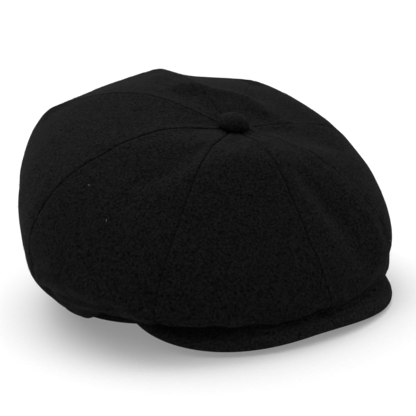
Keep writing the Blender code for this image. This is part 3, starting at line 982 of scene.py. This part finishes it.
STITCH = 2.6                 # from one stitch to the next
THREAD = 0.42
THREAD_SIDES = 5
HEM = 2.5                    # from the sweatband's edges to its stitches


def sew(name, path, normals, material):
    """A row of machine stitches along a path, each one dipping into the cloth at both ends."""
    lengths = np.concatenate([[0], np.cumsum(np.linalg.norm(np.diff(path, axis=0), axis=-1))])
    vertices = []
    faces = []
    for count in range(int(lengths[-1] / STITCH)):
        base = len(vertices)
        for place, height in ((0.08, -0.25), (0.28, 0.2), (0.72, 0.2), (0.92, -0.25)):
            along = (count + place) * STITCH
            middle = np.array([np.interp(along, lengths, path[:, axis]) for axis in range(3)])
            beyond = np.array([np.interp(along + 0.1, lengths, path[:, axis]) for axis in range(3)])
            normal = np.array([np.interp(along, lengths, normals[:, axis]) for axis in range(3)])
            side = unit(np.cross(beyond - middle, normal))
            for turn in np.linspace(0, 2 * math.pi, THREAD_SIDES, endpoint=False):
                round_it = side * math.cos(turn) + normal * math.sin(turn)
                vertices.append(middle + normal * height * THREAD + round_it * THREAD / 2)
        rings = base + np.arange(4 * THREAD_SIDES).reshape(4, THREAD_SIDES)
        faces += quads(np.concatenate([rings, rings[:, :1]], axis=1))
        faces.append(tuple(base + corner for corner in range(THREAD_SIDES)))
        faces.append(tuple(base + 3 * THREAD_SIDES + corner for corner in reversed(range(THREAD_SIDES))))
    piece = add_object(name, np.array(vertices), faces, material)
    flex(piece)


def border(half_angle, ends, inset, steps=20):
    """Points round a label's border at the back, moved in from its edges."""
    half = math.radians(half_angle) - inset[0]
    left, right = math.pi - half, math.pi + half
    bottom, top = ends[0] + inset[1], ends[1] - inset[1]
    corners = [(left, bottom), (right, bottom), (right, top), (left, top), (left, bottom)]
    points = []
    for start, end in zip(corners, corners[1:]):
        points.extend(np.linspace(start, end, steps, endpoint=False))
    return np.array(points + [corners[0]])


def inside_bands(azimuths, offset, heights):
    """A path on the bands' inner side, and its normals towards the head."""
    flat = outward(azimuths) * (band_radius(azimuths) + offset)[:, None]
    path = np.concatenate([flat, (band_lift(azimuths) + heights)[:, None]], axis=-1)
    return path, np.concatenate([-outward(azimuths), np.zeros((len(azimuths), 1))], axis=-1)


def make_stitches(thread):
    """Stitches of the sweatband, the two labels and the visor's hem."""
    ring = np.linspace(0, 2 * math.pi, 361)
    inner = -GAP - STIFFENER - LAYER_GAP - LINING - SWEATBAND
    sew("stitches_foot", *inside_bands(ring, inner, SWEATBAND_FOOT + HEM), thread)
    sew("stitches_top", *inside_bands(ring, inner, SWEATBAND_HEIGHT - HEM), thread)
    tab = border(TAB_HALF_ANGLE, TAB_HEIGHTS, (0.012, 1.0))
    sew("stitches_size", *inside_bands(tab[:, 0], inner - LAYER_GAP - LABEL, tab[:, 1]), thread)
    around_label = border(LABEL_HALF_ANGLE, LABEL_SHARES, (0.03, 0.006))
    points = lining_surface(around_label[:, 0], around_label[:, 1])
    normals = -facing(lining_surface, around_label[:, 0], around_label[:, 1])
    sew("stitches_label", points + normals * (LINING + LABEL_ROOM + LABEL), normals, thread)
    across = np.linspace(-0.9, 0.9, 161)
    whole = np.ones_like(across)
    path = visor_surface(across, whole, BOARD_INSET + 2.2, UNDER_CLOTH[1])
    down = np.tile([0.0, 0.0, -1.0], (161, 1))
    sew("stitches_visor", path, down, thread)


# Button ------------------------------------

BUTTON_COVER = [(0, 6.2), (1.8, 6.15), (3.5, 5.9), (5.2, 5.4), (6.8, 4.7), (8.1, 3.8), (9.0, 2.6),
                (9.6, 1.6), (9.8, 0.6), (9.6, 0.0), (9.2, -0.6), (8.2, -1.0), (8.2, -0.2), (8.6, 0.6), (7.9, 2.1),
                (5.9, 3.8), (3.0, 4.8), (0, 5.0)]


def button_matrix():
    """The button's base plane, tilted with the crown's top."""
    tilt = Matrix.Rotation(math.radians(BUTTON_TILT), 4, "X")
    apex = Matrix.Translation((*CROWN_CENTRE, APEX_HEIGHT))
    return apex @ tilt @ Matrix.Translation((0, 0, BUTTON_STAND_OFF))


def make_button(wool):
    """The button's cloth, drawn tight with small gathers at its rim."""
    base = button_matrix()
    segments = 72
    vertices = []
    for step in range(segments):
        angle = 2 * math.pi * step / segments
        for radius, height in BUTTON_COVER:
            gather = 0.12 * math.sin(13 * angle) * max(0.0, min(1.0, (radius - 6) / 3))
            reach = radius + gather
            point = Vector((math.cos(angle) * reach, math.sin(angle) * reach, height))
            vertices.append(tuple(base @ point))
    index = np.arange(len(vertices)).reshape(segments, -1)
    faces = quads(np.concatenate([index, index[:1]]))
    piece = add_object("button_cloth", vertices, faces, wool)
    mesh_data = bmesh.new()
    mesh_data.from_mesh(piece.data)
    bmesh.ops.remove_doubles(mesh_data, verts=mesh_data.verts, dist=1e-6)
    mesh_data.to_mesh(piece.data)
    mesh_data.free()
    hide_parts("button_cover")
    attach(piece, "cap")


def dress_metal(nickel):
    """Give the button's metal parts their plating."""
    for node in ("button_shell", "button_back", "button_washer"):
        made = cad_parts[node]
        made.data.materials.clear()
        made.data.materials.append(nickel)


# Stage -------------------------------------

def make_stage():
    """A wide white floor, soft light from above and a white surround."""
    bpy.ops.mesh.primitive_plane_add(size=12, location=(0, 0, -0.0004))
    floor = bpy.context.object
    floor.name = "floor"
    floor.data.materials.append(floor_material())
    world = bpy.data.worlds.new("studio")
    world.use_nodes = True
    background = world.node_tree.nodes["Background"]
    tree = world.node_tree
    place = tree.nodes.new("ShaderNodeTexCoord")
    split = tree.nodes.new("ShaderNodeSeparateXYZ")
    sky = tree.nodes.new("ShaderNodeValToRGB")
    tree.links.new(place.outputs["Generated"], split.inputs["Vector"])
    tree.links.new(split.outputs["Z"], sky.inputs["Fac"])
    tree.links.new(sky.outputs["Color"], background.inputs["Color"])
    for position, level in SKY:
        stop = sky.color_ramp.elements.new(position)
        stop.color = (level, level, level, 1)
    for unused in (0, -1):
        sky.color_ramp.elements.remove(sky.color_ramp.elements[unused])
    bpy.context.scene.world = world
    data = bpy.data.lights.new("softbox", "SUN")
    data.energy = SUN_POWER
    data.angle = math.radians(SUN_SPREAD)
    made = bpy.data.objects.new("softbox", data)
    bpy.context.scene.collection.objects.link(made)
    made.rotation_euler = Vector(SUN_FROM).to_track_quat("Z", "Y").to_euler()


def make_camera():
    """The camera at the picture's angle."""
    azimuth = math.radians(CAMERA_AZIMUTH)
    elevation = math.radians(CAMERA_ELEVATION)
    back = Vector((math.sin(azimuth) * math.cos(elevation), -math.cos(azimuth) * math.cos(elevation),
                   math.sin(elevation)))
    data = bpy.data.cameras.new("camera")
    data.lens = CAMERA_LENS
    data.sensor_width = SENSOR
    data.clip_start = 0.01
    data.clip_end = 50
    made = bpy.data.objects.new("camera", data)
    bpy.context.scene.collection.objects.link(made)
    target = Vector(to_row(CAMERA_TARGET))
    made.location = target + back * CAMERA_DISTANCE * MM
    aim = (-back).to_track_quat("-Z", "Y")
    roll = Matrix.Rotation(math.radians(CAMERA_ROLL), 4, "Z").to_quaternion()
    made.rotation_mode = "QUATERNION"
    made.rotation_quaternion = aim @ roll
    bpy.context.scene.camera = made


bpy.context.scene.view_settings.view_transform = "Standard"
black_wool = wool_material("black_wool", (0.0012, 0.0012, 0.0012), (0.0087, 0.0088, 0.0091))
# The same black wool with a lighter colour: painted light, standing in for the light the visor's cloth catches.
painted_light_wool = wool_material("painted_light_wool", (0.0026, 0.0026, 0.0026), (0.0135, 0.0136, 0.0140))
black_satin = satin_material()
black_twill = woven_material("black_twill", (0.012, 0.012, 0.013), (0.034, 0.034, 0.036), 0.9, 45, 0.8)
tape_canvas = woven_material("tape_canvas", (0.50, 0.46, 0.38), (0.68, 0.64, 0.54), 0.8, 0, 0.9)
label_weave = woven_material("label_weave", (0.07, 0.07, 0.074), (0.13, 0.13, 0.137), 0.4, 0, 0.6)
crown_grids = make_crown(black_wool)
make_fuzz(crown_grids, fibre_material())
make_lint(crown_grids, lint_material())
# The visor's cloths take the lighter copy of the wool, which is painted light.
make_visor(painted_light_wool, board_material())
make_bands(black_wool, tape_canvas, black_twill, label_weave)
make_lining(black_satin, label_weave)
make_stitches(thread_material())
make_button(black_wool)
dress_metal(nickel_material())
make_stage()
make_camera()
